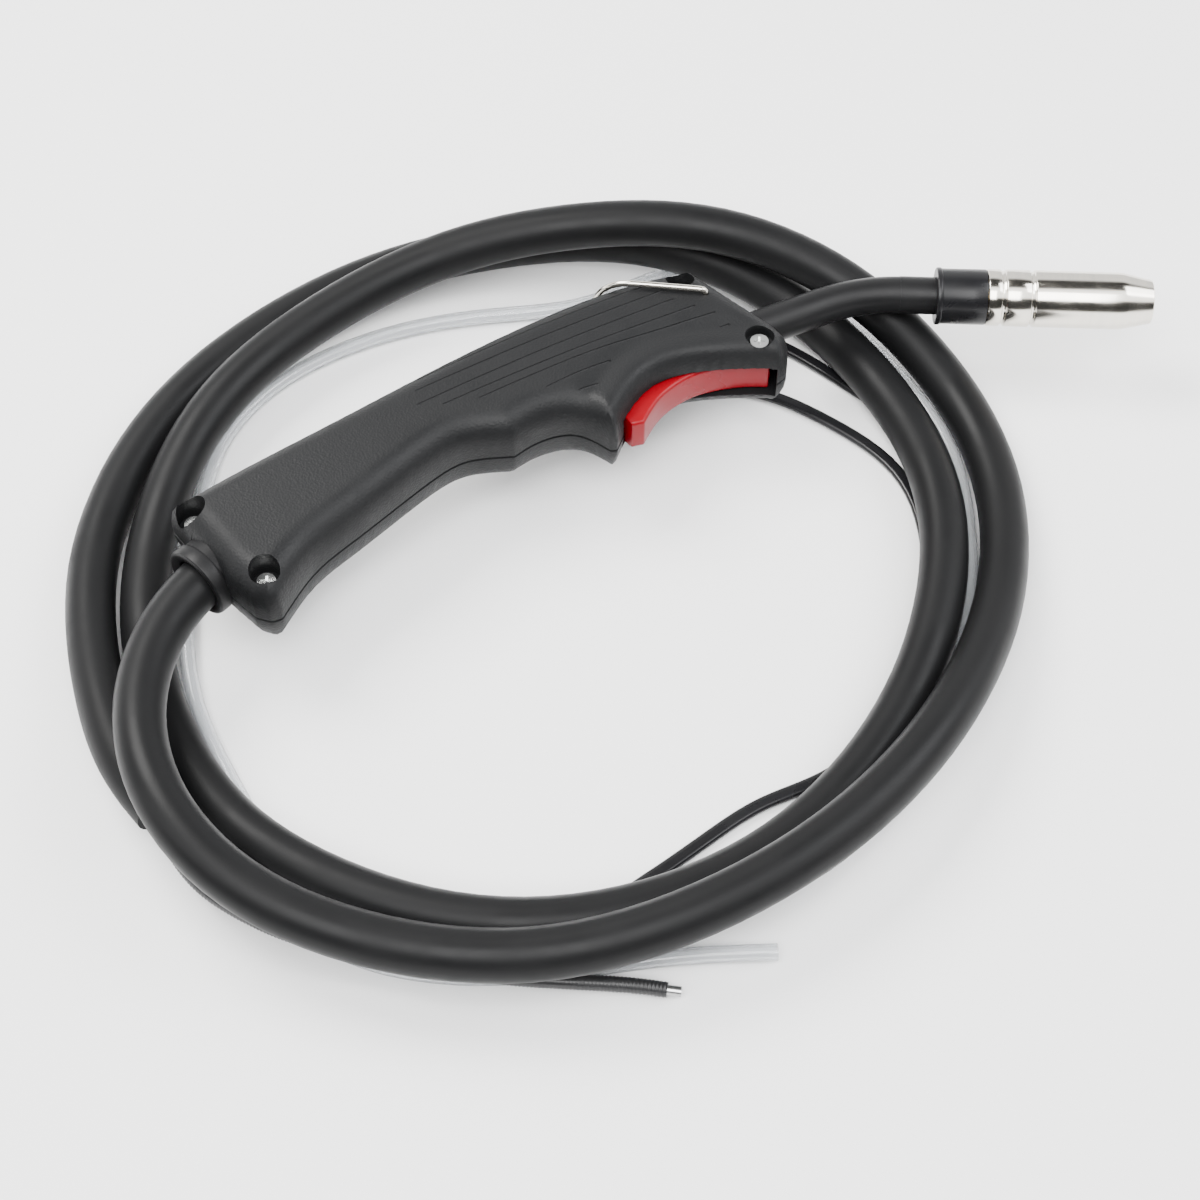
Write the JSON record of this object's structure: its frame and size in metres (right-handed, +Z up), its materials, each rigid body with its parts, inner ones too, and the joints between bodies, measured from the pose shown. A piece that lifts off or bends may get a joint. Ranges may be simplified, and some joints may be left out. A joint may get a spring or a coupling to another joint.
{
  "type": "mig welding torch",
  "caption": "Hand-held MIG welding torch lying on its side: bent neck, pull-off nozzle, sprung trigger, wire hanging hook and looped rubber lead with hose, cord and liner tails.",
  "frame": {"origin": "on the nozzle's axis, in the middle of the length of its plain barrel", "axes": "+X out of the nozzle along its axis, +Z up and square to the handle's parting plane; the torch lies on its side, 31 mm below the axis"},
  "size_m": [0.3419, 0.2949, 0.0482],
  "materials": {
    "shell_plastic": "fine grain",
    "trigger_red": "gloss",
    "black_plastic": "gloss",
    "switch_plastic": "satin",
    "button_plastic": "satin",
    "nickel": "bright, slightly warm",
    "zinc": "bright zinc",
    "dark_steel": "dark",
    "brass": "satin",
    "copper": "satin",
    "liner_steel": "wound",
    "jacket_rubber": "satin",
    "neck_rubber": "satin",
    "clear_hose": "clear, slightly milky",
    "cord_black": "gloss"
  },
  "bodies": {
    "torch": {"near_shell": "shell_plastic", "far_shell": "shell_plastic", "shell_screws": "zinc", "switch_body": "switch_plastic", "switch_terminals": "brass", "switch_wires": "cord_black", "neck_tube": "brass", "neck_sleeve": "neck_rubber", "neck_block": "brass", "block_screws": "dark_steel", "neck_liner": "liner_steel", "insulating_collar": "black_plastic", "tip_holder": "brass", "contact_tip": "copper", "nozzle_spring": "liner_steel", "cable_collar": "neck_rubber", "cable_clamp": "zinc", "power_conductor": "copper", "inner_gas_hose": "clear_hose", "cable_jacket": "jacket_rubber", "gas_hose": "clear_hose", "trigger_lead": "cord_black", "wire_liner": "switch_plastic", "liner_core": "liner_steel"},
    "trigger": {"trigger": "trigger_red", "trigger_spring": "liner_steel"},
    "plunger": {"switch_plunger": "button_plastic"},
    "hook": {"hanging_hook": "nickel"},
    "nozzle": {"nozzle": "nickel"}
  },
  "joints": [
    {"name": "trigger_pull", "type": "hinge", "parent": "torch", "child": "trigger", "pos_m": [-0.1054, -0.0325, 0], "axis": [0, 0, -1], "range_deg": [0, 4.5], "stiffness_Nm_per_rad": 0.4, "springref_deg": -14.32},
    {"name": "plunger_press", "type": "slide", "parent": "torch", "child": "plunger", "axis": [-0.454, 0.891, 0], "range_m": [0, 0.0024]},
    {"name": "hook_swing", "type": "hinge", "parent": "torch", "child": "hook", "pos_m": [-0.1228, -0.0153, 0], "axis": [0, 0, -1], "range_deg": [0, 30]},
    {"name": "nozzle_pull_off", "type": "slide", "parent": "torch", "child": "nozzle", "axis": [1, 0, 0], "range_m": [0, 0.055]}
  ],
  "couplings": [
    {"joint": "plunger_press", "follows": "trigger_pull", "m_per_rad": 0.0303}
  ]
}
